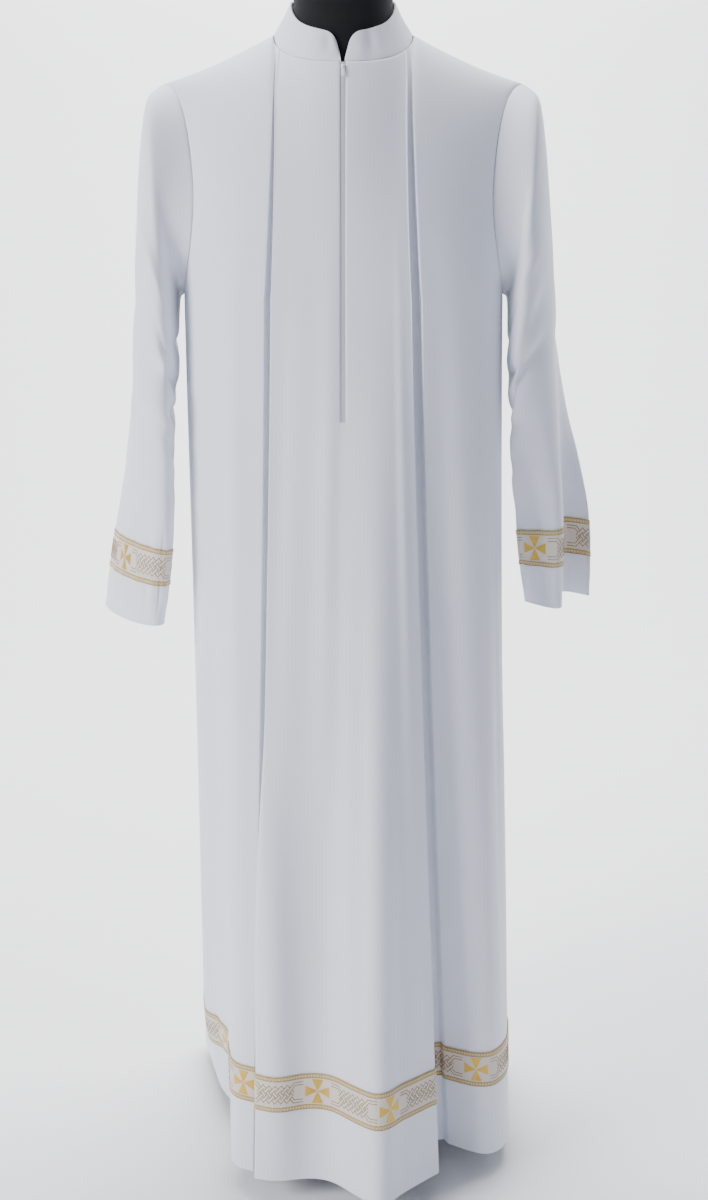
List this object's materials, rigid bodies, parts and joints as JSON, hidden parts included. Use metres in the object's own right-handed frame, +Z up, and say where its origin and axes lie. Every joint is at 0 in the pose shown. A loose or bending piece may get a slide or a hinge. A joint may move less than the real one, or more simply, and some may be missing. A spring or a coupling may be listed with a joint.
{
  "type": "alb on a dress form",
  "caption": "Long white vestment with stand collar, zip neck, pleats and galloon bands, hanging on a limbless dress form with a round foot.",
  "frame": {"origin": "centre of the underside of the stand's round foot, on the floor", "axes": "+Z up along the pole, the garment's front faces -Y, +X is to the right as seen from the front"},
  "size_m": [0.619, 0.503, 1.45],
  "materials": {
    "white_polyester": "plain woven polyester, soft sheen",
    "gold_galloon": "jacquard band, ivory ground with gold figures",
    "zip_tape": "knitted zip tape",
    "white_enamel": "white enamelled zinc",
    "black_jersey": "black knitted cover on a hard form",
    "black_steel": "black powder coat"
  },
  "bodies": {
    "garment": {"front": "white_polyester", "back": "white_polyester", "sleeve_left": "white_polyester", "sleeve_right": "white_polyester", "collar": "white_polyester", "galloon_hem_front": "gold_galloon", "galloon_hem_back": "gold_galloon", "galloon_cuff_left": "gold_galloon", "galloon_cuff_right": "gold_galloon", "zip_tape": "zip_tape", "zip_slider": "white_enamel", "form_torso": "black_jersey", "stand_pole": "black_steel", "stand_base": "black_steel"},
    "pull": {"zip_pull": "white_enamel"}
  },
  "joints": [
    {"name": "pull_swing", "type": "hinge", "parent": "garment", "child": "pull", "pos_m": [0, -0.07827, 1.34132], "axis": [-1, 0, 0], "range_deg": [0, 110]}
  ]
}
